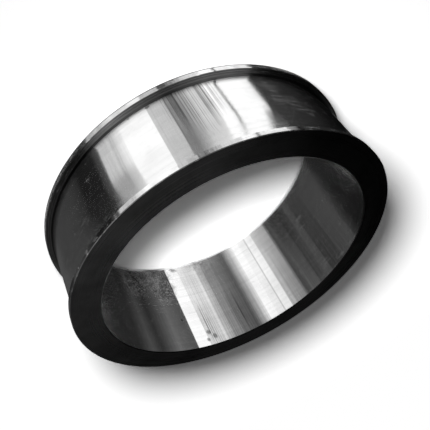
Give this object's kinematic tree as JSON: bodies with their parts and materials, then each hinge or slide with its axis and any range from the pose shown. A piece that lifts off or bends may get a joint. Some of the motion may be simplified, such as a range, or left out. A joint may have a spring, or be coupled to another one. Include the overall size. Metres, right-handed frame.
{
  "type": "seamless rolled ring forging",
  "caption": "One-piece machined steel ring with a plain bore, a flared flange, a straight waist, a shouldered collar and a bevelled foot.",
  "frame": {"origin": "centre of the foot face, on the ring's axis", "axes": "+Z along the ring's axis, from the bevelled foot up to the flange's top face"},
  "size_m": [0.6079, 0.608, 0.22],
  "materials": {
    "turned_steel": "turned bright on the outer wall and in the bore, darker on the faces"
  },
  "bodies": {
    "root": {"rolled_ring": "turned_steel"}
  },
  "joints": []
}
